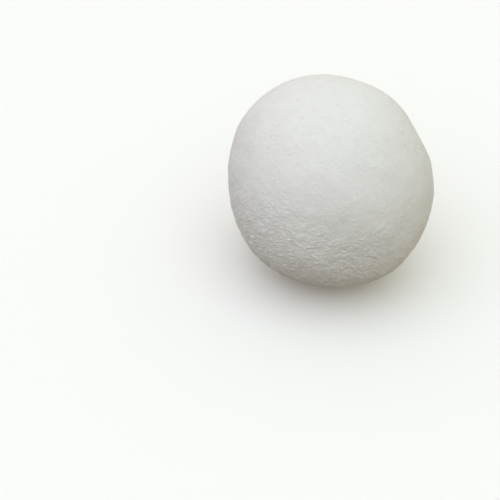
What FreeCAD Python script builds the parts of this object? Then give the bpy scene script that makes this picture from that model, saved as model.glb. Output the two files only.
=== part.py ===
import FreeCAD, Part
import math
import os
import Sketcher

# A felted wool dryer ball, in millimetres. The origin is the ball's centre and +Z is up.
#
# The ball is built from the inside out, and every layer fits the one under it face to face:
#   core_nub       a tightly rolled nub of wool
#   batt_wrap_1-6  strips of carded wool batt, wound about X, Y and Z in turn, twice over
#   outer_skin     a closed layer of fine wool, with the small flat that the ball stands on
#
# A wound strip is a belt: a round section turned about its winding axis, fullest at its belt line,
# with a round window left open at each end of the axis. The next strip crosses it and fills both
# windows. The finished ball is a little narrower along X than across it.

DIMENSIONS = {
    "ball_radius": (35.4, "finished ball, half size across X"),
    "ball_half_width": (34.3, "finished ball, half size along X"),
    "flat_radius": (4.8, "half width of the flat that the ball stands on"),
    "core_radius": (11.0, "rolled nub at the middle"),
    "strip_growth": (3.4, "what one strip adds to the ball at its belt line"),
    "side_growth": (2.0, "what one strip adds to the ball along its winding axis"),
    "window_ratio": (0.4, "window radius over the strip's belt radius"),
}
AXES = ("X", "Y", "Z")
STRIP_COUNT = 6
# The turn that brings a body's own +Z onto each axis.
AXIS_TURNS = {
    "X": FreeCAD.Rotation(FreeCAD.Vector(0, 1, 0), 90),
    "Y": FreeCAD.Rotation(FreeCAD.Vector(1, 0, 0), -90),
    "Z": FreeCAD.Rotation(),
}
# Sketcher's numbers for its own origin, its horizontal axis and the points of a piece of geometry.
ORIGIN = (-1, 1)
HORIZONTAL_AXIS = -1
VERTICAL_AXIS = -2
START, END, CENTRE = 1, 2, 3

doc = FreeCAD.newDocument("DryerBall")


def make_sheet():
    """The driving dimensions: a name, a value and a note on each row."""
    sheet = doc.addObject("Spreadsheet::Sheet", "Dimensions")
    for row, (name, (value, note)) in enumerate(DIMENSIONS.items(), start=1):
        sheet.set(f"A{row}", name)
        sheet.set(f"B{row}", str(value))
        sheet.setAlias(f"B{row}", name)
        sheet.set(f"C{row}", note)
    doc.recompute()
    return sheet


def make_turned_body(name, axis):
    """An empty body whose own Z lies along an axis, and a sketch on its XZ plane."""
    body = doc.addObject("PartDesign::Body", name)
    body.Placement = FreeCAD.Placement(FreeCAD.Vector(), AXIS_TURNS[axis])
    sketch = body.newObject("Sketcher::SketchObject", f"{name}_section")
    plane = next(each for each in body.Origin.OriginFeatures if each.Role == "XZ_Plane")
    sketch.AttachmentSupport = (plane, "")
    sketch.MapMode = "FlatFace"
    return body, sketch


def turn_section(body, sketch):
    """Revolve the section once round the body's own Z."""
    turned = body.newObject("PartDesign::Revolution", f"{body.Name}_turned")
    turned.Profile = sketch
    turned.ReferenceAxis = (sketch, ["V_Axis"])
    turned.Angle = 360
    body.Tip = turned


def drive(sketch, name, kind, *picks, size):
    """A dimension of a sketch, bound to an expression of the sheet's cells."""
    value = sheet.evalExpression(size)
    index = sketch.addConstraint(Sketcher.Constraint(kind, *picks, value))
    sketch.renameConstraint(index, name)
    sketch.setExpression(f"Constraints.{name}", size)


def join(sketch, first, second):
    """Make two end points, each a geometry number and a point number, the same point."""
    sketch.addConstraint(Sketcher.Constraint("Coincident", *first, *second))


def measure_round(half_width, radius):
    """A round's own radius, and how far its centre stands off the turning axis."""
    own_radius = sheet.evalExpression(half_width)
    return own_radius, sheet.evalExpression(radius) - own_radius


def draw_round(sketch, half_width, radius, half_angle):
    """The round of a section: an arc that reaches radius, on a circle as high as half_width."""
    own_radius, offset = measure_round(half_width, radius)
    circle = Part.Circle(FreeCAD.Vector(offset, 0, 0), FreeCAD.Vector(0, 0, 1), own_radius)
    arc = sketch.addGeometry(Part.ArcOfCircle(circle, -half_angle, half_angle))
    sketch.addConstraint(Sketcher.Constraint("PointOnObject", arc, CENTRE, HORIZONTAL_AXIS))
    drive(sketch, "round", "Radius", arc, size=half_width)
    drive(sketch, "offset", "DistanceX", *ORIGIN, arc, CENTRE, size=f"{radius} - ({half_width})")
    return arc


def make_belt(number):
    """A strip's outer form: a belt whose section is a round cut off straight at the windows."""
    radius = f"Dimensions.core_radius + {number} * Dimensions.strip_growth"
    half_width = f"{radius} - Dimensions.strip_growth + Dimensions.side_growth"
    window = f"Dimensions.window_ratio * ({radius})"
    body, sketch = make_turned_body(f"belt_{number}", AXES[(number - 1) % len(AXES)])
    window_x = sheet.evalExpression(window)
    own_radius, offset = measure_round(half_width, radius)
    rim_angle = math.acos((window_x - offset) / own_radius)
    rim_height = own_radius * math.sin(rim_angle)
    arc = draw_round(sketch, half_width, radius, rim_angle)
    low = FreeCAD.Vector(window_x, -rim_height, 0)
    high = FreeCAD.Vector(window_x, rim_height, 0)
    wall = sketch.addGeometry(Part.LineSegment(low, high))
    join(sketch, (arc, START), (wall, START))
    join(sketch, (arc, END), (wall, END))
    sketch.addConstraint(Sketcher.Constraint("Vertical", wall))
    drive(sketch, "window", "DistanceX", *ORIGIN, wall, START, size=window)
    turn_section(body, sketch)
    return body


def make_boolean(kind, name, base, tool):
    """A Part::Cut or a Part::Fuse of two earlier objects."""
    result = doc.addObject(kind, name)
    result.Base = base
    result.Tool = tool
    return result


def make_core():
    """The rolled nub that the first strip is wound on."""
    core = doc.addObject("Part::Sphere", "core_nub")
    core.setExpression("Radius", "Dimensions.core_radius")
    return core


def make_strip(number, built):
    """One wound strip, and the whole of what is built once it is on."""
    belt = make_belt(number)
    strip = make_boolean("Part::Cut", f"batt_wrap_{number}", belt, built)
    built_after = make_boolean("Part::Fuse", f"built_{number}", belt, built)
    return strip, built_after


def make_round_ball():
    """The finished ball before its flat: a half section with a tiny flat at each end of X."""
    half_width = "Dimensions.ball_half_width"
    radius = "Dimensions.ball_radius"
    body, sketch = make_turned_body("round_ball", "X")
    own_radius, offset = measure_round(half_width, radius)
    arc = draw_round(sketch, half_width, radius, math.pi / 2)
    corners = [
        FreeCAD.Vector(offset, own_radius, 0),
        FreeCAD.Vector(0, own_radius, 0),
        FreeCAD.Vector(0, -own_radius, 0),
        FreeCAD.Vector(offset, -own_radius, 0),
    ]
    end_line, axis_line, start_line = [
        sketch.addGeometry(Part.LineSegment(low, high))
        for low, high in zip(corners, corners[1:])
    ]
    join(sketch, (arc, END), (end_line, START))
    join(sketch, (end_line, END), (axis_line, START))
    join(sketch, (axis_line, END), (start_line, START))
    join(sketch, (start_line, END), (arc, START))
    for line in (end_line, start_line):
        sketch.addConstraint(Sketcher.Constraint("Horizontal", line))
    for point in (START, END):
        sketch.addConstraint(
            Sketcher.Constraint("PointOnObject", axis_line, point, VERTICAL_AXIS)
        )
        sketch.addConstraint(Sketcher.Constraint("Vertical", arc, CENTRE, arc, point))
    turn_section(body, sketch)
    return body


def make_skin(built):
    """The fine-wool layer: the finished ball with its flat, less all that it covers."""
    under_flat = doc.addObject("Part::Box", "under_flat")
    for side in ("Length", "Width"):
        under_flat.setExpression(side, "4 * Dimensions.flat_radius")
    under_flat.setExpression("Height", "Dimensions.flat_radius")
    for side in ("x", "y"):
        under_flat.setExpression(f"Placement.Base.{side}", "-2 * Dimensions.flat_radius")
    flat_depth = "sqrt(Dimensions.ball_radius ^ 2 - Dimensions.flat_radius ^ 2)"
    under_flat.setExpression("Placement.Base.z", f"-{flat_depth} - Dimensions.flat_radius")
    standing_ball = make_boolean("Part::Cut", "standing_ball", make_round_ball(), under_flat)
    return make_boolean("Part::Cut", "outer_skin", standing_ball, built)


def make_pieces():
    """Every piece, from the core outwards."""
    core = make_core()
    pieces = [core]
    built = core
    for number in range(1, STRIP_COUNT + 1):
        strip, built = make_strip(number, built)
        pieces.append(strip)
    pieces.append(make_skin(built))
    for piece in pieces:
        piece.Label = piece.Name
    return pieces


def check_document(pieces):
    """Stop on any object that failed, or any piece without one sound solid."""
    for item in doc.Objects:
        if "Invalid" in item.State or "Error" in item.State:
            raise RuntimeError(f"{item.Name} failed: {item.State}")
    for piece in pieces:
        if piece.Shape.isNull() or not piece.Shape.isValid():
            raise RuntimeError(f"{piece.Label} has no valid shape")
        if len(piece.Shape.Solids) != 1:
            raise RuntimeError(f"{piece.Label} has {len(piece.Shape.Solids)} solids, not 1")


def write_pieces(pieces):
    """One STEP file for each piece, named after it."""
    os.makedirs("parts", exist_ok=True)
    for piece in pieces:
        piece.Shape.exportStep(f"parts/{piece.Label}.step")
        box = piece.Shape.optimalBoundingBox()
        print(
            f"{piece.Label:14s} {piece.Shape.Volume / 1000:8.3f} cm3"
            f"  x {box.XLength:6.2f}  y {box.YLength:6.2f}  z {box.ZMin:7.3f} to {box.ZMax:7.3f}"
        )


sheet = make_sheet()
ball_pieces = make_pieces()
doc.recompute()
check_document(ball_pieces)
write_pieces(ball_pieces)
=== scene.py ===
"""A felted wool dryer ball: its looks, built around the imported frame. Metres, +Z up.

The ball is wool all through. Its skin is a felt surface, matted from wavy strands, with loose
fibres lying on it and a few standing off it. Under the skin lie the crossing strips of batt that
the ball is wound from, and the rolled nub at its middle.
"""

import math

import bpy
import numpy as np
from mathutils import Matrix, Vector
from mathutils.kdtree import KDTree


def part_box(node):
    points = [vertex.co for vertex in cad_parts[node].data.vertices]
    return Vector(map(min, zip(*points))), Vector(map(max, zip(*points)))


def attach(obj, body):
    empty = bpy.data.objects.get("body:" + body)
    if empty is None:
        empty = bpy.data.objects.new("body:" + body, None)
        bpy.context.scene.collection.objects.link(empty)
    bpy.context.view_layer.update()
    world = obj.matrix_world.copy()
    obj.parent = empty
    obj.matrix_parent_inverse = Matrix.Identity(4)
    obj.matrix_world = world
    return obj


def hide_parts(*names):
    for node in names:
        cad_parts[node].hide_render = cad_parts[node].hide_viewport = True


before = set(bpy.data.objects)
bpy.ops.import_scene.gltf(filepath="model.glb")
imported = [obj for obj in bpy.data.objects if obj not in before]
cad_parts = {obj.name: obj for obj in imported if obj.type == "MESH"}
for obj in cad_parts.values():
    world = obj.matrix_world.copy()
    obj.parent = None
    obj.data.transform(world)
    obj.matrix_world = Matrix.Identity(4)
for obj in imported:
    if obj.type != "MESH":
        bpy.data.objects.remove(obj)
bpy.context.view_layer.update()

MM = 0.001
# Every random field and every set of random draws has its own offset from this seed.
SEED = 20


# ---------------------------------------------------------------- the ball's sizes, from the frame

skin_low, skin_high = (np.array(corner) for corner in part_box("outer_skin"))
BALL_HALF_WIDTH = (skin_high[0] - skin_low[0]) / 2
BALL_RADIUS = (skin_high[1] - skin_low[1]) / 2
FLOOR_Z = skin_low[2]
core_low, core_high = (np.array(corner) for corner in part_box("core_nub"))
CORE_RADIUS = (core_high[0] - core_low[0]) / 2
STRIP_COUNT = 6
# A strip's window, the round hole it leaves at each end of its winding axis, over its own radius.
WINDOW_RATIO = 0.4


# ---------------------------------------------------------------- vectors and random fields


def unit(vectors):
    """Vectors at length one."""
    return vectors / np.linalg.norm(vectors, axis=-1, keepdims=True)


def along_surface(vectors, directions):
    """What is left of vectors once the part along each direction is taken off, at length one."""
    outward = np.sum(vectors * directions, axis=-1, keepdims=True) * directions
    return unit(vectors - outward)


def smooth_step(values, low, high):
    """From 0 at low to 1 at high, with soft ends."""
    share = np.clip((values - low) / (high - low), 0, 1)
    return share * share * (3 - 2 * share)


def wave_field(points, shortest, longest, seed, waves=48):
    """A smooth random field at points, about -2 to 2, from plane waves of these wavelengths."""
    rng = np.random.default_rng(seed)
    headings = unit(rng.normal(size=(waves, 3)))
    lengths = rng.uniform(shortest, longest, waves)
    phases = rng.uniform(0, 2 * math.pi, waves)
    field = np.zeros(points.shape[:-1])
    for heading, length, phase in zip(headings, lengths, phases):
        field += np.sin(points @ heading * (2 * math.pi / length) + phase)
    return field * math.sqrt(2 / waves)


# ---------------------------------------------------------------- the round grid

# Points of two faces that agree to this many decimals are one point.
SHARED_DECIMALS = 7
# A lookup stays this far, in cells, inside the far edge of its face.
EDGE_GAP = 1e-6


class RoundGrid:
    """A cube's grid blown up to a ball: even quads, and a lookup from any direction."""

    # Each face's outward axis, and the two axes that its grid runs along.
    FACES = [
        ((1, 0, 0), (0, 1, 0), (0, 0, 1)),
        ((-1, 0, 0), (0, 0, 1), (0, 1, 0)),
        ((0, 1, 0), (0, 0, 1), (1, 0, 0)),
        ((0, -1, 0), (1, 0, 0), (0, 0, 1)),
        ((0, 0, 1), (1, 0, 0), (0, 1, 0)),
        ((0, 0, -1), (0, 1, 0), (1, 0, 0)),
    ]

    def __init__(self, cells):
        self.cells = cells
        steps = np.tan(np.linspace(-1, 1, cells + 1) * math.pi / 4)
        first, second = np.meshgrid(steps, steps, indexing="ij")
        sheets = []
        for outward, along, across in np.array(self.FACES, float):
            sheet = outward + first[..., None] * along + second[..., None] * across
            sheets.append(unit(sheet))
        sheets = np.array(sheets)
        # Adding 0.0 turns every -0.0 into 0.0, so that shared points are equal.
        flat = np.round(sheets.reshape(-1, 3), SHARED_DECIMALS) + 0.0
        _, keep, index = np.unique(flat, axis=0, return_index=True, return_inverse=True)
        self.directions = sheets.reshape(-1, 3)[keep]
        self.index = index.reshape(6, cells + 1, cells + 1)
        corners = [
            self.index[:, :-1, :-1],
            self.index[:, 1:, :-1],
            self.index[:, 1:, 1:],
            self.index[:, :-1, 1:],
        ]
        self.quads = np.stack(corners, axis=-1).reshape(-1, 4)

    def sample(self, values, directions):
        """The values of the grid's points, read between them at any directions."""
        faces = np.array(self.FACES, float)
        face = np.argmax(directions @ faces[:, 0].T, axis=-1)
        axes = faces[face]
        parts = np.einsum("...j,...kj->...k", directions, axes)
        spots = np.arctan2(parts[..., 1:], parts[..., :1]) * (4 / math.pi)
        spots = np.clip((spots + 1) / 2 * self.cells, 0, self.cells - EDGE_GAP)
        cell = spots.astype(int)
        rest = spots - cell
        total = 0
        for i in (0, 1):
            for j in (0, 1):
                share_i = rest[..., 0] if i else 1 - rest[..., 0]
                share_j = rest[..., 1] if j else 1 - rest[..., 1]
                corner = self.index[face, cell[..., 0] + i, cell[..., 1] + j]
                total = total + share_i * share_j * values[corner]
        return total


# ---------------------------------------------------------------- the camera

# The camera looks down on a pile that the ball would crown, and the ball is up and to the right
# of the pile's middle.
CAMERA_LENS = 50.0
CAMERA_TILT_DOWN = math.radians(38)
BALL_AHEAD = 238.8 * MM
BALL_RIGHT = 27.1 * MM
BALL_UP = 23.4 * MM

CAMERA_RIGHT = np.array([1.0, 0.0, 0.0])
CAMERA_AHEAD = np.array([0.0, math.cos(CAMERA_TILT_DOWN), -math.sin(CAMERA_TILT_DOWN)])
CAMERA_UP = np.cross(CAMERA_RIGHT, CAMERA_AHEAD)
CAMERA_PLACE = -BALL_AHEAD * CAMERA_AHEAD - BALL_RIGHT * CAMERA_RIGHT - BALL_UP * CAMERA_UP


def make_camera():
    """The camera, with the ball in its upper right."""
    camera_data = bpy.data.cameras.new("camera")
    camera_data.lens = CAMERA_LENS
    camera_data.clip_start = 10 * MM
    camera = bpy.data.objects.new("camera", camera_data)
    axes = Matrix(np.column_stack([CAMERA_RIGHT, CAMERA_UP, -CAMERA_AHEAD]).tolist())
    camera.matrix_world = Matrix.Translation(Vector(CAMERA_PLACE)) @ axes.to_4x4()
    bpy.context.scene.collection.objects.link(camera)
    bpy.context.scene.camera = camera


# ---------------------------------------------------------------- the ball's form

# Places where the ball is pressed flat or swells. Each is given as the camera's picture shows it:
# its angle round the ball, anticlockwise from the right, and how far inward it is from the
# outline (90 is about the middle, and less than 0 is behind). Then come how far it goes in or
# out, and over what angle it swells.
PRESSED = [
    (30, 0, 2.1 * MM),
    (50, 0, 0.75 * MM),
    (68, 0, 0.3 * MM),
    (186, 8, 0.5 * MM),
    (288, 38, 0.3 * MM),
    (265, 52, 0.4 * MM),
    (130, -62, 0.9 * MM),
    (330, -52, 0.6 * MM),
]
SWOLLEN = [
    (122, 0, 1.75 * MM, math.radians(36)),
    (306, 0, 1.85 * MM, math.radians(30)),
    (145, 0, 0.5 * MM, math.radians(14)),
    (352, 0, 0.35 * MM, math.radians(12)),
    (65, 70, 0.2 * MM, math.radians(30)),
]
# How softly the edge of a pressed place, and of the flat on the floor, is rounded.
FLATTENED_EDGE = 0.55 * MM
FLOOR_EDGE = 0.12 * MM
# The ball's broad unevenness: how high, and its shortest and longest waves.
FORM_WAVES = [
    (0.16 * MM, 22 * MM, 45 * MM),
    (0.07 * MM, 9 * MM, 18 * MM),
]
# A direction that faces a plane less than this is held to meet it far outside the ball.
LEAST_FACING = 0.2
# The ball is rubbed smoother on top, behind and a little to its right: that way, from how little
# to how much of that direction, and how much of its strands and its waves is lost there.
CALM_TOWARDS = np.array([0.22, 0.25, 0.943])
CALM_FROM = -0.78
CALM_TO = 0.23
STRANDS_CALMED = 0.82
WAVES_CALMED = 0.6


def seen_direction(turn, inward):
    """The direction from the ball's centre to a place given by its two angles in the picture."""
    distance = np.linalg.norm(CAMERA_PLACE)
    towards = CAMERA_PLACE / distance
    right = along_surface(CAMERA_RIGHT, towards)
    up = np.cross(towards, right)
    turn = math.radians(turn)
    lean = math.asin(BALL_RADIUS / distance) + math.radians(inward)
    outward = math.cos(turn) * right + math.sin(turn) * up
    return math.cos(lean) * outward + math.sin(lean) * towards


def soft_lower(values, ceiling, edge):
    """The lower of values and ceiling, with the corner between them rounded over edge."""
    gap = (ceiling - values) / edge
    return ceiling - edge * np.logaddexp(0, gap)


def plane_radius(directions, towards, distance):
    """The radius at which each direction meets the plane that stands off towards a direction."""
    return distance / np.maximum(directions @ towards, LEAST_FACING)


def turned_radius(directions, axis, half_width, radius):
    """The outside of a form turned about an axis: a round, set off from the axis."""
    offset = radius - half_width
    across = np.sqrt(np.maximum(1 - directions[..., axis] ** 2, 0))
    reach = across * offset
    return reach + np.sqrt(reach**2 + half_width**2 - offset**2)


def ball_form(directions):
    """The ball's radius in each direction, before the felt's own relief."""
    radius = turned_radius(directions, 0, BALL_HALF_WIDTH, BALL_RADIUS)
    for turn, inward, rise, spread in SWOLLEN:
        angle = np.arccos(np.clip(directions @ seen_direction(turn, inward), -1, 1))
        radius = radius + rise * np.exp(-((angle / spread) ** 2))
    points = directions * BALL_RADIUS
    for number, (height, shortest, longest) in enumerate(FORM_WAVES):
        radius = radius + height * wave_field(points, shortest, longest, SEED + number)
    for turn, inward, depth in PRESSED:
        plane = plane_radius(directions, seen_direction(turn, inward), BALL_RADIUS - depth)
        radius = soft_lower(radius, plane, FLATTENED_EDGE)
    return radius


def settle_on_floor(directions, radius):
    """Flatten what would reach below the floor, as the soft ball does where it stands."""
    floor = plane_radius(directions, np.array([0.0, 0.0, -1.0]), -FLOOR_Z)
    return soft_lower(radius, floor, FLOOR_EDGE)


# ---------------------------------------------------------------- strands of wool

# The wool lies in swirls, with these shortest and longest waves. Where a place's height over the
# ball's radius is less than LEVEL_BELOW, the wool is drawn level, and the lower the more.
SWIRL_WAVES = (16 * MM, 34 * MM)
LEVEL_BELOW = 0.25
LEVEL_PULL = 2.2
# A strand's length is its kind's length times something between these two, and the slow bend that
# it makes on its way is this share of its stray.
LENGTH_SPREAD = (0.5, 1.5)
BEND_SHARE = 0.5
# The strands matted into the skin: how they are laid, their half width and their greatest height.
STRAND_KINDS = [
    {
        "laid": {
            "count": 22000,
            "steps": 11,
            "length": 3.0 * MM,
            "stray": 0.75,
            "crimp": 0.75,
            "crimp_length": 2.0 * MM,
        },
        "half_width": 0.19 * MM,
        "height": 0.36 * MM,
    },
    {
        "laid": {
            "count": 30000,
            "steps": 7,
            "length": 1.5 * MM,
            "stray": 1.10,
            "crimp": 0.80,
            "crimp_length": 1.2 * MM,
        },
        "half_width": 0.13 * MM,
        "height": 0.10 * MM,
    },
]
# The lowest strand's height over the greatest.
LOWEST_STRAND = 0.1
# How sharply the tallest strand at a place wins over those beside it, and how many half widths
# away from its middle a strand ends.
STRAND_MERGE = 3
STRAND_REACH = 2.4
# The felt's low waves: how high, and the shortest and longest of them.
FELT_WAVES = [
    (0.012 * MM, 1.2 * MM, 2.4 * MM),
    (0.052 * MM, 3.0 * MM, 7.5 * MM),
]
# The strands are higher in some patches than in others: by what share, and the patches' waves.
PATCH_SHARE = 0.12
PATCH_WAVES = (9 * MM, 20 * MM)


def headings_at(directions):
    """The way that the wool lies: swirls, drawn level low down."""
    points = directions * BALL_RADIUS
    swirl = np.stack(
        [wave_field(points, *SWIRL_WAVES, SEED + 40 + part) for part in range(3)], axis=-1
    )
    level = np.cross(np.array([0.0, 0.0, 1.0]), directions)
    pull = np.clip(LEVEL_BELOW - directions[..., 2], 0, 1) * LEVEL_PULL
    return along_surface(swirl + level * pull[..., None], directions)


def turn_about(vectors, axes, angles):
    """Vectors that lie square to their axes, turned about them."""
    cosine = np.cos(angles)[..., None]
    sine = np.sin(angles)[..., None]
    return vectors * cosine + np.cross(axes, vectors) * sine


def lay_strands(seed, count, steps, length, stray, crimp, crimp_length):
    """Directions along wavy strands lying round the ball: an array of count by steps by 3.

    Each strand starts off the way that the wool lies, give or take its stray. It sways by its crimp
    once in each crimp length, and it also bends slowly one way.
    """
    rng = np.random.default_rng(seed)
    places = unit(rng.normal(size=(count, 3)))
    headings = turn_about(headings_at(places), places, rng.normal(0, stray, count))
    stride = rng.uniform(*LENGTH_SPREAD, count) * length / (steps - 1)
    phase = rng.uniform(0, 2 * math.pi, count)
    bend = rng.normal(0, BEND_SHARE * stray, count) / steps
    strand = []
    for step in range(steps):
        strand.append(places)
        wave = 2 * math.pi * stride / crimp_length
        turn = crimp * wave * np.cos(phase + wave * step) + bend
        headings = along_surface(turn_about(headings, places, turn), places)
        places = unit(places + headings * (stride / BALL_RADIUS)[:, None])
    return np.stack(strand, axis=1)


def strand_relief(grid, strands, half_width, heights):
    """The height of strands matted into the surface, at each of the grid's points.

    A strand surfaces in its middle and dives in at its ends.
    """
    samples = strands.reshape(-1, 3) * BALL_RADIUS
    steps = strands.shape[1]
    surfacing = np.sin(math.pi * (np.arange(steps) + 0.5) / steps)
    sample_heights = (heights[:, None] * surfacing).ravel()
    tree = KDTree(len(samples))
    for number, sample in enumerate(samples.tolist()):
        tree.insert(sample, number)
    tree.balance()
    relief = np.zeros(len(grid.directions))
    reach = STRAND_REACH * half_width
    fall = 0.5 / half_width**2
    exp = math.exp
    tall = sample_heights.tolist()
    for point, place in enumerate((grid.directions * BALL_RADIUS).tolist()):
        total = 0.0
        for _, number, distance in tree.find_range(place, reach):
            total += (tall[number] * exp(-fall * distance * distance)) ** STRAND_MERGE
        relief[point] = total
    return relief ** (1 / STRAND_MERGE)


def felt_relief(grid):
    """The felt's own relief: matted strands and low waves, both of them calmer on top."""
    rng = np.random.default_rng(SEED + 7)
    points = grid.directions * BALL_RADIUS
    waves = np.zeros(len(points))
    for number, (height, shortest, longest) in enumerate(FELT_WAVES):
        waves += height * wave_field(points, shortest, longest, SEED + 10 + number)
    strand_heights = np.zeros(len(points))
    for number, kind in enumerate(STRAND_KINDS):
        strands = lay_strands(SEED + 8 + number, **kind["laid"])
        heights = rng.uniform(LOWEST_STRAND, 1.0, len(strands)) * kind["height"]
        strand_heights += strand_relief(grid, strands, kind["half_width"], heights)
    strand_heights -= np.mean(strand_heights)
    calm = smooth_step(grid.directions @ CALM_TOWARDS, CALM_FROM, CALM_TO)
    patches = 1 + PATCH_SHARE * wave_field(points, *PATCH_WAVES, SEED + 12)
    matted = strand_heights * patches * (1 - STRANDS_CALMED * calm)
    return matted + waves * (1 - WAVES_CALMED * calm)


# ---------------------------------------------------------------- meshes


def make_piece(name, points, faces, materials, smooth=True):
    """A mesh object from points and faces."""
    mesh = bpy.data.meshes.new(name)
    mesh.from_pydata(points.tolist(), [], faces)
    for material in materials:
        mesh.materials.append(material)
    mesh.polygons.foreach_set("use_smooth", np.full(len(mesh.polygons), smooth))
    mesh.update()
    piece = bpy.data.objects.new(name, mesh)
    bpy.context.scene.collection.objects.link(piece)
    return piece


def show_relief(piece, relief, span):
    """Let the material read the relief at each point, which it paints as shade, deeper in the
    grooves: 0 is half the span down, 1 half of it up.
    """
    attribute = piece.data.attributes.new("relief", "FLOAT", "POINT")
    attribute.data.foreach_set("value", np.clip(relief / span + 0.5, 0, 1).astype(np.float32))


# ---------------------------------------------------------------- materials


class NodeSheet:
    """Short calls for a material's nodes and links."""

    def __init__(self, name):
        self.material = bpy.data.materials.new(name)
        self.material.use_nodes = True
        self.tree = self.material.node_tree
        self.shader = self.tree.nodes["Principled BSDF"]

    def add(self, kind, **settings):
        """A new node with these settings."""
        node = self.tree.nodes.new(kind)
        for name, value in settings.items():
            setattr(node, name, value)
        return node

    def link(self, output, target):
        """A link from a node's output to another node's input."""
        self.tree.links.new(output, target)

    def noise(self, place, size, detail=2.0, distortion=0.0):
        """A noise texture whose features are about this size."""
        node = self.add("ShaderNodeTexNoise")
        node.inputs["Scale"].default_value = 1 / size
        node.inputs["Detail"].default_value = detail
        node.inputs["Distortion"].default_value = distortion
        self.link(place, node.inputs["Vector"])
        return node.outputs["Fac"]

    def math(self, operation, first, second=None, third=None, clamp=False):
        """Arithmetic on up to three values, each a number or a node's output."""
        node = self.add("ShaderNodeMath", operation=operation, use_clamp=clamp)
        for socket, value in zip(node.inputs, (first, second, third)):
            if value is None:
                continue
            if isinstance(value, (int, float)):
                socket.default_value = value
            else:
                self.link(value, socket)
        return node.outputs[0]

    def ramp(self, factor, stops):
        """A colour ramp through (position, colour) stops."""
        node = self.add("ShaderNodeValToRGB")
        elements = node.color_ramp.elements
        while len(elements) < len(stops):
            elements.new(0.5)
        for element, (position, colour) in zip(elements, stops):
            element.position = position
            element.color = (*colour, 1.0)
        self.link(factor, node.inputs["Fac"])
        return node.outputs["Color"]


# Each felt's colour on its ridges and in its grooves. The relief picks between them as painted
# shade: deeper in the grooves, paler on the ridges.
FELT_COLOURS = {
    "core_felt": ((0.70, 0.66, 0.56), (0.60, 0.55, 0.44)),
    "batt_felt": ((0.76, 0.74, 0.67), (0.66, 0.62, 0.53)),
    "skin_felt": ((0.76, 0.762, 0.737), (0.715, 0.707, 0.67)),
}
FELT_SHEEN = 0.5
FIBRE_SHEEN = 0.1
# Where felt is pale and where it is deep: how much its relief says, which is painted shade that
# leaves the grooves deeper and the ridges paler, how much a fine grain and broad blotches say,
# which are the wool's own tone, and at what sum of the three it is deepest and palest.
GROOVE_SHADE_SHARE = 0.6
GRAIN_SHARE = 0.25
GRAIN_SIZE = 0.7 * MM
BLOTCH_SHARE = 0.15
BLOTCH_SIZE = 12 * MM
DEEPEST_AT = 0.15
PALEST_AT = 0.8
# The finest tangle, which is a bump: each layer's size, how wavy its lines are, and its weight.
TANGLE_LAYERS = [
    (0.75 * MM, 1.6, 1.0),
    (0.38 * MM, 2.2, 0.7),
]
TANGLE_LINE_SHARPNESS = 9.0
TANGLE_DEPTH = 0.045 * MM
TANGLE_STRENGTH = 0.28


def finish_wool(sheet, sheen):
    """Wool's finish on the shader's own sockets: rough, barely shiny, with a soft sheen."""
    shader = sheet.shader
    shader.inputs["Roughness"].default_value = 0.95
    shader.inputs["Specular IOR Level"].default_value = 0.1
    shader.inputs["Sheen Weight"].default_value = sheen
    shader.inputs["Sheen Roughness"].default_value = 0.6
    shader.inputs["Sheen Tint"].default_value = (1.0, 0.99, 0.96, 1.0)


def tangle_height(sheet, place):
    """Thin wavy lines where a noise crosses its middle, in layers laid over each other."""
    height = 0.0
    for size, distortion, weight in TANGLE_LAYERS:
        noise = sheet.noise(place, size, detail=2.0, distortion=distortion)
        off_middle = sheet.math("ABSOLUTE", sheet.math("SUBTRACT", noise, 0.5))
        line = sheet.math("MULTIPLY_ADD", off_middle, -TANGLE_LINE_SHARPNESS, 1.0, clamp=True)
        height = sheet.math("MULTIPLY_ADD", line, weight, height)
    return height


def felt_material(name):
    """Matted wool with painted shade, deeper in the grooves and paler on the ridges, faint blotches
    and a tangle of fine fibres.
    """
    pale, deep = FELT_COLOURS[name]
    sheet = NodeSheet(name)
    place = sheet.add("ShaderNodeTexCoord").outputs["Object"]
    blotches = sheet.noise(place, BLOTCH_SIZE, detail=2.0, distortion=0.3)
    grain = sheet.noise(place, GRAIN_SIZE, detail=3.0, distortion=0.8)
    relief = sheet.add("ShaderNodeAttribute", attribute_name="relief").outputs["Fac"]
    mottle_and_groove_shade = sheet.math("MULTIPLY", grain, GRAIN_SHARE)
    mottle_and_groove_shade = sheet.math("MULTIPLY_ADD", blotches, BLOTCH_SHARE, mottle_and_groove_shade)
    # The relief's share is painted shade: the grooves come out deeper and the ridges paler.
    mottle_and_groove_shade = sheet.math("MULTIPLY_ADD", relief, GROOVE_SHADE_SHARE, mottle_and_groove_shade, clamp=True)
    colour = sheet.ramp(mottle_and_groove_shade, [(DEEPEST_AT, deep), (PALEST_AT, pale)])
    sheet.link(colour, sheet.shader.inputs["Base Color"])
    bump = sheet.add("ShaderNodeBump")
    bump.inputs["Strength"].default_value = TANGLE_STRENGTH
    bump.inputs["Distance"].default_value = TANGLE_DEPTH
    sheet.link(tangle_height(sheet, place), bump.inputs["Height"])
    sheet.link(bump.outputs["Normal"], sheet.shader.inputs["Normal"])
    finish_wool(sheet, FELT_SHEEN)
    return sheet.material


def fibre_material(name, colour):
    """A loose fibre's wool: one fibre is one colour all along."""
    sheet = NodeSheet(name)
    sheet.shader.inputs["Base Color"].default_value = (*colour, 1.0)
    finish_wool(sheet, FIBRE_SHEEN)
    return sheet.material


# ---------------------------------------------------------------- the wound ball inside

# The size of a strip's faces, and how thick the strip still is at its edges.
STRIP_CELL = 0.62 * MM
STRIP_EDGE = 0.12 * MM
# From the deepest relief that a material paints as shade, darker in the grooves, to the highest.
STRIP_RELIEF_SPAN = 1.0 * MM
FELT_RELIEF_SPAN = 0.4 * MM
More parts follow.
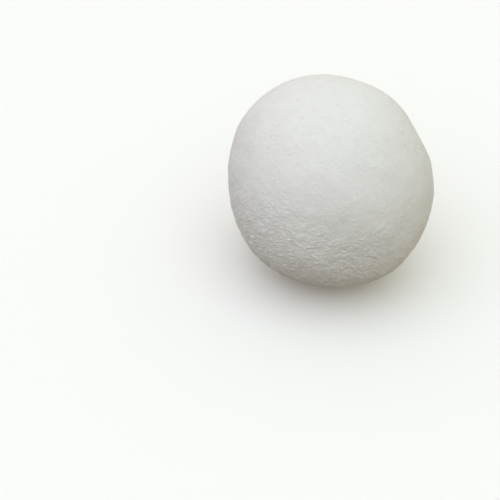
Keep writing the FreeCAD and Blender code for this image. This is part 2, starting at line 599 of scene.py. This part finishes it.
# A strip thins out towards its window. It would be gone this far short of the window's rim, and it
# is full this far beyond the rim.
FEATHER_SHORT = math.radians(3.9)
FEATHER_BEYOND = math.radians(13)
CORE_CELLS = 64
# Combed wool: how much longer its ridges are than broad, then the height, shortest wave, longest
# wave and number of waves of its ridges and of its folds.
COMB_STRETCH = 4.5
COMB_RIDGES = (0.16 * MM, 7 * MM, 15 * MM, 32)
COMB_FOLDS = (0.10 * MM, 6 * MM, 12 * MM, 24)
MEAN_RIDGE = 0.8
# The ragged rim of a strip's window: how many waves there are round it, and how deep (radians).
RAGGED_WAVES = [(3, 0.018), (7, 0.014), (16, 0.008), (29, 0.006)]


def strip_sizes(number):
    """A strip's winding axis, belt radius, half width and window angle, from its node's box."""
    axis = (number - 1) % 3
    _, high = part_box(f"batt_wrap_{number}")
    radius = high[(axis + 1) % 3]
    rim_height = high[axis]
    window = WINDOW_RATIO * radius
    beside = radius - window
    half_width = (rim_height**2 + beside**2) / (2 * beside)
    return axis, radius, half_width, math.atan2(window, rim_height)


def combed_relief(directions, axis, radius, seed):
    """Low ridges of wool combed round an axis."""
    ridge_height, *ridge_waves, ridge_count = COMB_RIDGES
    fold_height, *fold_waves, fold_count = COMB_FOLDS
    points = directions * radius
    folds = wave_field(points, *fold_waves, seed + 1, waves=fold_count)
    points[..., axis] *= COMB_STRETCH
    ridges = np.abs(wave_field(points, *ridge_waves, seed, waves=ridge_count))
    return ridge_height * (MEAN_RIDGE - ridges) + fold_height * folds


def wind_on(radius, directions, number):
    """The radius of what is built once one more strip is wound on it."""
    axis, belt, half_width, window_angle = strip_sizes(number)
    from_axis = np.arccos(np.clip(np.abs(directions[..., axis]), 0, 1))
    share = smooth_step(from_axis, window_angle - FEATHER_SHORT, window_angle + FEATHER_BEYOND)
    combed = combed_relief(directions, axis, belt, SEED + 70 + 2 * number)
    full = turned_radius(directions, axis, half_width, belt) + combed
    return radius + share * np.maximum(full - radius, 0)


def built_radius(directions, layer):
    """The radius of what is built once a layer is on: 0 is the core, then come the strips."""
    radius = CORE_RADIUS + combed_relief(directions, 2, CORE_RADIUS, SEED + 70)
    for number in range(1, layer + 1):
        radius = wind_on(radius, directions, number)
    return radius


def make_inner_piece(name, node, points, quads, material):
    """A piece of the wound ball, which stands for its CAD node."""
    piece = make_piece(name, points, quads.tolist(), [material])
    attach(piece, "root")
    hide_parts(node)
    return piece


def make_core(material):
    """The rolled nub at the middle."""
    grid = RoundGrid(CORE_CELLS)
    radius = built_radius(grid.directions, 0)
    points = grid.directions * radius[:, None]
    core = make_inner_piece("rolled_core", "core_nub", points, grid.quads, material)
    show_relief(core, radius - CORE_RADIUS, FELT_RELIEF_SPAN)


def strip_directions(number):
    """Directions over a strip, round its axis and from one window's ragged rim to the other's."""
    axis, belt, _, window_angle = strip_sizes(number)
    turns = int(2 * math.pi * belt / STRIP_CELL)
    steps = int((math.pi - 2 * window_angle) * belt / STRIP_CELL)
    turn = np.linspace(0, 2 * math.pi, turns, endpoint=False)[:, None]
    ragged = sum(
        depth * np.sin(waves * turn + number * waves) for waves, depth in RAGGED_WAVES
    )
    last = math.pi / 2 - window_angle + ragged
    rise = np.linspace(-1, 1, steps + 1)[None, :] * last
    directions = np.zeros((turns, steps + 1, 3))
    directions[..., axis] = np.sin(rise)
    directions[..., (axis + 1) % 3] = np.cos(rise) * np.cos(turn)
    directions[..., (axis + 2) % 3] = np.cos(rise) * np.sin(turn)
    return directions


def ring_quads(loops, count):
    """The faces of a ring made of this many closed loops, each with this many points."""
    here = np.arange(loops * count).reshape(loops, count)
    beside = np.roll(here, -1, axis=0)
    corners = [here, beside, np.roll(beside, -1, axis=1), np.roll(here, -1, axis=1)]
    return np.stack(corners, axis=-1).reshape(-1, 4)


def make_strip(number, material):
    """A wound strip of batt, thin at its two edges: its outer face, and its inner face back."""
    directions = strip_directions(number)
    inner = built_radius(directions, number - 1)
    outer = np.maximum(wind_on(inner, directions, number), inner + STRIP_EDGE)
    outer_face = directions * outer[..., None]
    inner_face = directions * inner[..., None]
    loops = np.concatenate([outer_face, inner_face[:, ::-1]], axis=1)
    strip = make_inner_piece(
        f"wound_batt_{number}",
        f"batt_wrap_{number}",
        loops.reshape(-1, 3),
        ring_quads(*loops.shape[:2]),
        material,
    )
    axis, belt, half_width, _ = strip_sizes(number)
    relief = np.concatenate([outer, inner[:, ::-1]], axis=1)
    relief = relief - turned_radius(unit(loops), axis, half_width, belt)
    show_relief(strip, relief.ravel(), STRIP_RELIEF_SPAN)


def make_wound_ball():
    """The core and the strips wound on it."""
    core_wool = felt_material("core_felt")
    make_core(core_wool)
    batt_wool = felt_material("batt_felt")
    for number in range(1, STRIP_COUNT + 1):
        make_strip(number, batt_wool)


# ---------------------------------------------------------------- the skin

# Cells along each side of the grid's six faces.
SKIN_CELLS = 250
LINING_CELLS = 60


def skin_lining():
    """The skin's inner face, which lies on the wound ball."""
    grid = RoundGrid(LINING_CELLS)
    radius = built_radius(grid.directions, STRIP_COUNT)
    return grid.directions * radius[:, None], grid.quads[:, ::-1]


def make_skin():
    """The felt skin, a closed shell: the seen surface, and the wound ball's surface inside it."""
    grid = RoundGrid(SKIN_CELLS)
    relief = felt_relief(grid)
    radius = ball_form(grid.directions) + relief
    radius = settle_on_floor(grid.directions, radius)
    outer_points = grid.directions * radius[:, None]
    lining_points, lining_quads = skin_lining()
    points = np.concatenate([outer_points, lining_points])
    quads = np.concatenate([grid.quads, lining_quads + len(outer_points)])
    material = felt_material("skin_felt")
    skin = make_piece("felt_skin", points, quads.tolist(), [material])
    relief = np.concatenate([relief, np.zeros(len(lining_points))])
    show_relief(skin, relief, FELT_RELIEF_SPAN)
    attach(skin, "root")
    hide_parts("outer_skin")
    return grid, radius


# ---------------------------------------------------------------- loose fibres

FIBRE_SIDES = 3
# The loose fibres of each shade, lying and standing: how many there are, how they are laid, their
# thinnest and thickest, and how deep in the felt their buried ends are. Then comes how far the
# middle of a lying fibre rises off the felt.
LYING_COUNT = 700
LYING_LAID = {
    "steps": 13,
    "length": 5.0 * MM,
    "stray": 0.9,
    "crimp": 0.8,
    "crimp_length": 2.6 * MM,
}
LYING_THICKNESS = (0.03 * MM, 0.06 * MM)
LYING_DIVE = 0.10 * MM
LYING_RISE = (0.01 * MM, 0.05 * MM)
STANDING_COUNT = 4500
STANDING_LAID = {
    "steps": 6,
    "length": 1.2 * MM,
    "stray": 1.2,
    "crimp": 0.5,
    "crimp_length": 1.6 * MM,
}
STANDING_THICKNESS = (0.025 * MM, 0.045 * MM)
STANDING_DIVE = 0.08 * MM
# How far the standing fibres' tips rise, in millimetres: two of these steps on average, and always
# between these limits.
STANDING_STEP = 0.14
STANDING_LIMITS = (0.05, 0.85)
# Fibres that come nearer to the floor than this are left out.
CLEAR_OF_FLOOR = 0.15 * MM
FIBRE_COLOURS = {
    "pale": (0.80, 0.795, 0.765),
    "cream": (0.76, 0.74, 0.68),
}


def tube_faces(steps, sides):
    """The faces of a closed tube with a pointed tip at each end, its points numbered along it."""
    rings = steps - 2
    last = rings * sides + 1
    faces = []
    for side in range(sides):
        beside = (side + 1) % sides
        faces.append((0, 1 + beside, 1 + side))
        for ring in range(rings - 1):
            here = 1 + ring * sides
            ahead = here + sides
            faces.append((here + side, here + beside, ahead + beside))
            faces.append((here + side, ahead + beside, ahead + side))
        top = 1 + (rings - 1) * sides
        faces.append((last, top + side, top + beside))
    return np.array(faces)


def make_fibres(name, paths, thickness, material):
    """Thin tubes along paths, an array of count by steps by 3, as one piece."""
    count, steps, _ = paths.shape
    along = unit(np.gradient(paths, axis=1))
    outward = along_surface(unit(paths), along)
    across = np.cross(along, outward)
    taper = np.sin(np.linspace(0, math.pi, steps)) ** 0.4
    reach = taper[None, :, None] * thickness[:, None, None] / 2
    rings = []
    for side in range(FIBRE_SIDES):
        angle = 2 * math.pi * side / FIBRE_SIDES
        rings.append(paths + reach * (math.cos(angle) * outward + math.sin(angle) * across))
    middle = np.stack(rings, axis=2)[:, 1:-1].reshape(count, -1, 3)
    points = np.concatenate([paths[:, :1], middle, paths[:, -1:]], axis=1)
    faces = tube_faces(steps, FIBRE_SIDES)
    starts = np.arange(count) * points.shape[1]
    all_faces = (starts[:, None, None] + faces).reshape(-1, 3)
    fibres = make_piece(name, points.reshape(-1, 3), all_faces.tolist(), [material], smooth=False)
    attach(fibres, "root")
    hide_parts("outer_skin")


def lying_paths(grid, radius, seed):
    """Fibres matted on the skin: they surface in the middle and dive in at both ends."""
    rng = np.random.default_rng(seed)
    strands = lay_strands(seed + 1, LYING_COUNT, **LYING_LAID)
    height = grid.sample(radius, strands)
    arch = np.sin(np.linspace(0, math.pi, LYING_LAID["steps"]))
    rise = rng.uniform(*LYING_RISE, LYING_COUNT)
    height = height - LYING_DIVE + (rise + LYING_DIVE)[:, None] * arch**0.5
    return strands * height[..., None]


def standing_paths(grid, radius, seed):
    """Fibres that leave the skin, lean over and end in the air."""
    rng = np.random.default_rng(seed)
    strands = lay_strands(seed + 1, STANDING_COUNT, **STANDING_LAID)
    height = grid.sample(radius, strands)
    share = np.linspace(0, 1, STANDING_LAID["steps"])
    rise = rng.gamma(2.0, STANDING_STEP, STANDING_COUNT).clip(*STANDING_LIMITS) * MM
    height = height - STANDING_DIVE + rise[:, None] * share**0.8
    return strands * height[..., None]


def above_floor(paths):
    """The paths that stay clear of the floor."""
    return paths[np.min(paths[..., 2], axis=1) > FLOOR_Z + CLEAR_OF_FLOOR]


def make_all_fibres(grid, radius):
    """Lying and standing fibres, some pale and some cream."""
    rng = np.random.default_rng(SEED + 60)
    for number, (shade, colour) in enumerate(FIBRE_COLOURS.items()):
        material = fibre_material(f"fibre_{shade}", colour)
        lying = above_floor(lying_paths(grid, radius, SEED + 61 + 10 * number))
        thickness = rng.uniform(*LYING_THICKNESS, len(lying))
        make_fibres(f"lying_fibres_{shade}", lying, thickness, material)
        standing = above_floor(standing_paths(grid, radius, SEED + 65 + 10 * number))
        thickness = rng.uniform(*STANDING_THICKNESS, len(standing))
        make_fibres(f"standing_fibres_{shade}", standing, thickness, material)


# ---------------------------------------------------------------- light and floor

# The sky is a little brighter on the left, as from a window there. The warm bounce from a pile
# of balls reaches the ball from low on the right. SIDE_REACH is how far to each side the sky and
# the bounce go on changing, and FADE is how far below the horizon the sky ends.
ROOM_STRENGTH = 0.7
SKY_LEFT_COLOUR = (1.134, 1.031, 0.956)
SKY_RIGHT_COLOUR = (0.899, 0.913, 0.736)
LOW_LEFT_COLOUR = (0.0, 0.0, 0.0)
LOW_RIGHT_COLOUR = (0.335, 0.200, 0.025)
SIDE_REACH = 0.8
FADE = 0.10
LAMP_STRENGTH = 1.41
LAMP_COLOUR = (0.862, 1.0, 1.229)
LAMP_ANGLE = math.radians(90)
LAMP_FROM = (-0.171, -0.470, 0.866)
FLOOR_COLOUR = (0.924, 0.919, 0.888)
FLOOR_HALF = 4.5
BACKDROP_RADIUS = 4.0
BACKDROP_HEIGHT = 3.5
BACKDROP_SIDES = 96
BACKDROP_COLOUR = (0.97, 0.98, 0.94)


def make_floor():
    """A plain pale floor under the ball, which takes its shade but throws no light back at it."""
    corners = FLOOR_HALF * np.array([(-1, -1, 0), (1, -1, 0), (1, 1, 0), (-1, 1, 0)], float)
    corners[:, 2] = FLOOR_Z
    sheet = NodeSheet("pale_floor")
    sheet.shader.inputs["Base Color"].default_value = (*FLOOR_COLOUR, 1.0)
    sheet.shader.inputs["Roughness"].default_value = 0.9
    sheet.shader.inputs["Specular IOR Level"].default_value = 0.1
    floor = make_piece("floor", corners, [(0, 1, 2, 3)], [sheet.material])
    floor.visible_diffuse = False


def make_backdrop():
    """A pale round wall far behind the ball, as bright as the floor, that casts no light."""
    turn = np.linspace(0, 2 * math.pi, BACKDROP_SIDES, endpoint=False)
    ring = BACKDROP_RADIUS * np.stack([np.cos(turn), np.sin(turn), 0 * turn], axis=-1)
    foot = ring + (0, 0, FLOOR_Z)
    top = ring + (0, 0, BACKDROP_HEIGHT)
    faces = []
    for side in range(BACKDROP_SIDES):
        beside = (side + 1) % BACKDROP_SIDES
        faces.append((side, BACKDROP_SIDES + side, BACKDROP_SIDES + beside, beside))
    sheet = NodeSheet("pale_backdrop")
    shader = sheet.shader
    shader.inputs["Base Color"].default_value = (0.0, 0.0, 0.0, 1.0)
    shader.inputs["Specular IOR Level"].default_value = 0.0
    shader.inputs["Emission Color"].default_value = (*BACKDROP_COLOUR, 1.0)
    shader.inputs["Emission Strength"].default_value = 1.0
    backdrop = make_piece("backdrop", np.concatenate([foot, top]), faces, [sheet.material])
    backdrop.visible_diffuse = False
    backdrop.visible_glossy = False
    backdrop.visible_shadow = False


def make_lamp():
    """A very broad soft lamp, far off, above and in front of the ball."""
    lamp_data = bpy.data.lights.new("key_lamp", "SUN")
    lamp_data.angle = LAMP_ANGLE
    lamp_data.energy = LAMP_STRENGTH
    lamp_data.color = LAMP_COLOUR
    lamp = bpy.data.objects.new("key_lamp", lamp_data)
    lamp.rotation_euler = Vector(LAMP_FROM).to_track_quat("Z", "Y").to_euler()
    bpy.context.scene.collection.objects.link(lamp)


def share_between(tree, value, low, high, shape="LINEAR"):
    """A room node: how far a value is on the way from low to high, from 0 to 1."""
    share = tree.nodes.new("ShaderNodeMapRange")
    share.interpolation_type = shape
    share.inputs["From Min"].default_value = low
    share.inputs["From Max"].default_value = high
    tree.links.new(value, share.inputs["Value"])
    return share.outputs["Result"]


def blend_colours(tree, share, first, second):
    """A room node: a colour on the way from first to second, each a colour or a node's output."""
    blend = tree.nodes.new("ShaderNodeMix")
    blend.data_type = "RGBA"
    tree.links.new(share, blend.inputs["Factor"])
    for socket, colour in ((blend.inputs["A"], first), (blend.inputs["B"], second)):
        if isinstance(colour, tuple):
            socket.default_value = (*colour, 1.0)
        else:
            tree.links.new(colour, socket)
    return blend.outputs["Result"]


def make_room():
    """A pale sky over the floor, and a dim warm bounce from below it."""
    world = bpy.data.worlds.new("pale_room")
    world.use_nodes = True
    tree = world.node_tree
    direction = tree.nodes.new("ShaderNodeTexCoord").outputs["Generated"]
    parts = tree.nodes.new("ShaderNodeSeparateXYZ")
    tree.links.new(direction, parts.inputs[0])
    across = share_between(tree, parts.outputs["X"], -SIDE_REACH, SIDE_REACH)
    rise = share_between(tree, parts.outputs["Z"], -FADE, 0.0, "SMOOTHSTEP")
    low = blend_colours(tree, across, LOW_LEFT_COLOUR, LOW_RIGHT_COLOUR)
    sky = blend_colours(tree, across, SKY_LEFT_COLOUR, SKY_RIGHT_COLOUR)
    background = tree.nodes["Background"]
    background.inputs["Strength"].default_value = ROOM_STRENGTH
    tree.links.new(blend_colours(tree, rise, low, sky), background.inputs["Color"])
    bpy.context.scene.world = world


# ---------------------------------------------------------------- the scene

bpy.context.scene.view_settings.view_transform = "Standard"
make_camera()
make_floor()
make_backdrop()
make_room()
make_lamp()
make_wound_ball()
skin_grid, skin_radius = make_skin()
make_all_fibres(skin_grid, skin_radius)
